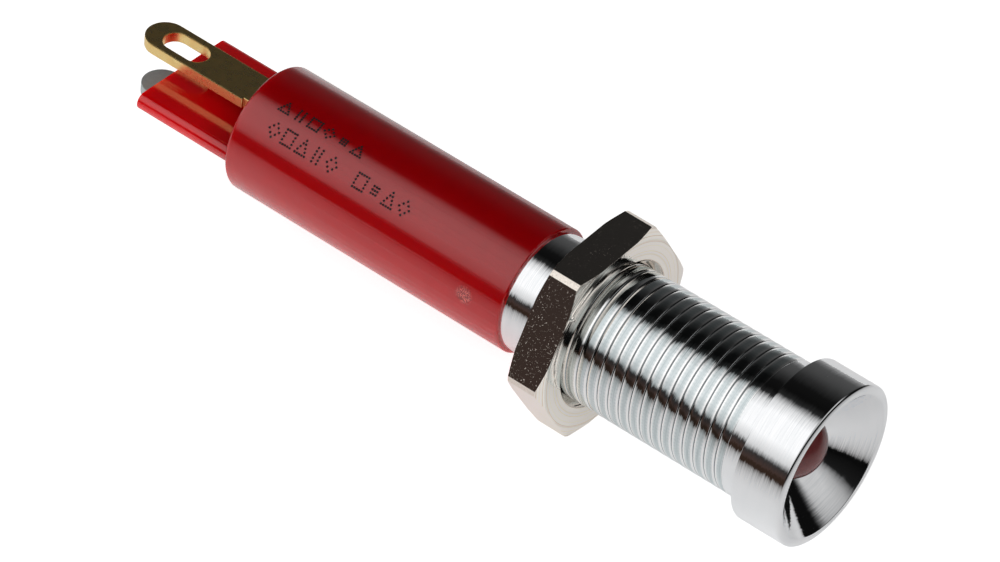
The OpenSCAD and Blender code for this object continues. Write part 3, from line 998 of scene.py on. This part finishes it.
# %% Floor
floor_z = cad_box[0][2]
floor_r = 1.5
bpy.ops.object.select_all(action="DESELECT")
bpy.ops.mesh.primitive_circle_add(vertices=96, radius=floor_r, fill_type="NGON", location=(0, 0, floor_z))
floor = bpy.context.object
floor.name = "floor"
paper, tree, shader, place = new_finish("white_paper_on_a_dark_table")
ray = add(tree, "LightPath")
direct = add(tree, "Math", {0: ray.outputs["Is Camera Ray"], 1: ray.outputs["Is Transmission Ray"]},
             operation="MAXIMUM")
glow_in_mirrors = 0.30
glow_on_plastic = 0.95
glow_to_camera = 0.8
mirrored = add(tree, "Math", {0: ray.outputs["Is Glossy Ray"], 1: glow_in_mirrors}, operation="MULTIPLY")
bounced = add(tree, "Math", {0: ray.outputs["Is Diffuse Ray"], 1: glow_on_plastic, 2: mirrored},
              operation="MULTIPLY_ADD")
glow = add(tree, "Math", {0: direct, 1: glow_to_camera, 2: bounced}, operation="MULTIPLY_ADD")
plug(tree, shader, {"Base Color": colour("#F6F6F6"), "Roughness": 0.9, "Specular IOR Level": 0.0,
                    "Emission Color": (1, 1, 1, 1), "Emission Strength": glow})

# %% Where the sheet ends and the table begins
sheet_left = (-60, -12)
sheet_front = (-45, -8)
spot = add(tree, "SeparateXYZ", {"Vector": place})
left_edge = add(tree, "MapRange", {"Value": spot.outputs["X"], "From Min": sheet_left[0] * MM,
                                   "From Max": sheet_left[1] * MM})
front_edge = add(tree, "MapRange", {"Value": spot.outputs["Y"], "From Min": sheet_front[0] * MM,
                                    "From Max": sheet_front[1] * MM})
sheet = add(tree, "Math", {0: left_edge, 1: front_edge}, operation="MULTIPLY")
off_sheet = add(tree, "Math", {0: 1.0, 1: sheet}, operation="SUBTRACT")
table_seen = add(tree, "Math", {0: off_sheet, 1: ray.outputs["Is Glossy Ray"]}, operation="MULTIPLY")
wood = add(tree, "Mix", {0: front_edge, 6: colour("#0A0A0A"), 7: colour("#33261F")}, data_type="RGBA")
table = add(tree, "Emission", {"Color": wood, "Strength": 1.0})
both = add(tree, "MixShader", {0: table_seen, 1: shader, 2: table})
plug(tree, tree.nodes["Material Output"], {"Surface": both})
floor.data.materials.append(paper)

# %% [markdown]
# ## The studio's lights
# Most of the lamp's surfaces are mirrors, so they show the room and not their own colour, and
# the room is what has to be right. Seen along the lamp's axis it is one broad white diffuser on
# the left, from low to steep, then darkness overhead that fades to grey far on the right. In
# front of the bezel is a weaker diffuser, above a dark gap. Two colour ramps draw that: one by
# the angle round the axis, one by the height above the floor.

# %% Helper: a ramp by angle
def fill_ramp(node, bands, span):
    """Fills a colour ramp from (angle, tone) pairs, over a span of that many degrees."""
    elements = node.color_ramp.elements
    elements.remove(elements[1])
    elements[0].position = 0
    elements[0].color = (*bands[0][1], 1)
    for angle, tone in bands[1:]:
        elements.new(angle / span).color = (*tone, 1)


def grey(tone):
    """A neutral tone, in linear light."""
    return (tone, tone, tone)


# %% Room
world = bpy.data.worlds.new("studio")
bpy.context.scene.world = world
world.use_nodes = True
tree = world.node_tree
tree.nodes.clear()
direction = add(tree, "TexCoord").outputs["Generated"]
split = add(tree, "SeparateXYZ", {"Vector": direction})
left = add(tree, "Math", {0: split.outputs["X"], 1: -1.0}, operation="MULTIPLY")
roll = add(tree, "Math", {0: split.outputs["Z"], 1: left}, operation="ARCTAN2")
share = add(tree, "Math", {0: roll, 1: math.pi}, operation="DIVIDE")
side = add(tree, "ValToRGB", {"Fac": share})
fill_ramp(side, [
    (0, (0.060, 0.036, 0.030)),
    (10, (0.032, 0.030, 0.030)),
    (13, grey(0.30)),
    (18, grey(0.70)),
    (36, grey(1.05)),
    (66, grey(1.05)),
    (79, grey(0.75)),
    (84, grey(0.45)),
    (90, grey(0.02)),
    (100, grey(0.004)),
    (116, grey(0.006)),
    (130, grey(0.026)),
    (144, grey(0.056)),
    (164, grey(0.08)),
    (172, grey(0.16)),
    (180, grey(0.36)),
], span=180)
height = add(tree, "Math", {0: split.outputs["Z"]}, operation="ARCSINE")
rise = add(tree, "Math", {0: height, 1: math.pi / 2}, operation="DIVIDE")
front = add(tree, "ValToRGB", {"Fac": rise})
fill_ramp(front, [
    (0, grey(0.004)),
    (14, grey(0.01)),
    (20, grey(0.40)),
    (25, grey(0.58)),
    (50, grey(0.58)),
    (65, grey(0.05)),
], span=90)
screen_end_x = (0.52, 0.78)
screen = add(tree, "MapRange", {"Value": split.outputs["X"], "From Min": screen_end_x[0],
                                "From Max": screen_end_x[1], "To Min": 1.0, "To Max": 0.02},
             interpolation_type="SMOOTHSTEP")
front_lit = add(tree, "Mix", {0: screen, 6: (0.004, 0.004, 0.004, 1), 7: front}, data_type="RGBA")
ahead_y = (-0.3, -0.1)
ahead = add(tree, "MapRange", {"Value": split.outputs["Y"], "From Min": ahead_y[0],
                               "From Max": ahead_y[1], "To Min": 1.0, "To Max": 0.0})
studio = add(tree, "Mix", {0: ahead, 6: side, 7: front_lit}, data_type="RGBA")
ray = add(tree, "LightPath")
seen = add(tree, "Mix", {0: ray.outputs["Is Camera Ray"], 6: studio, 7: (1, 1, 1, 1)}, data_type="RGBA")
sky = add(tree, "Background", {"Color": seen, "Strength": 1.0})
add(tree, "OutputWorld", {"Surface": sky})

# %% [markdown]
# One soft lamp, low on the left, fills the side of the shell, so that the red reads as red. It
# lights but isn't mirrored, as when a lamp stands behind the diffuser.

# %% Fill lamp
fill_data = bpy.data.lights.new("fill", "AREA")
fill_data.shape = "RECTANGLE"
fill_data.size = 0.30
fill_data.size_y = 0.08
fill_data.energy = 0.05
fill = bpy.data.objects.new("fill", fill_data)
bpy.context.scene.collection.objects.link(fill)
fill_from = Vector((-350, 10, 30)) * MM
fill_to = Vector((0, 20, 0)) * MM
fill.location = fill_from
fill.rotation_euler = (fill_to - fill_from).to_track_quat("-Z", "Y").to_euler()
fill.visible_glossy = False

# %% [markdown]
# ## The camera
# A long lens keeps the lamp's sides almost parallel, as in a catalogue view. The camera is given
# by three square directions, right, up and back, in the frame of the lamp.

# %% Camera
eye = Vector((-204.169, -119.860, 208.254)) * MM
right = Vector((0.62666, -0.77305, 0.09846)).normalized()
back = Vector((-0.63086, -0.42906, 0.64647)).normalized()
up = back.cross(right).normalized()
right = up.cross(back)
lens_settings = bpy.data.cameras.new("camera")
lens_settings.lens = 220.32
lens_settings.sensor_width = 36.0
lens_settings.clip_start = 0.01
lens_settings.clip_end = 10
camera = bpy.data.objects.new("camera", lens_settings)
bpy.context.scene.collection.objects.link(camera)
camera.matrix_world = Matrix((
    (right.x, up.x, back.x, eye.x),
    (right.y, up.y, back.y, eye.y),
    (right.z, up.z, back.z, eye.z),
    (0, 0, 0, 1),
))
bpy.context.scene.camera = camera
bpy.context.scene.view_settings.view_transform = "Standard"
print("camera", round(eye.length / MM), "mm from the lamp's seat")

# %% [markdown]
# ## The frame's size
# The engineering model's box is printed.

# %% Print the frame's size
print("frame", cad_box)
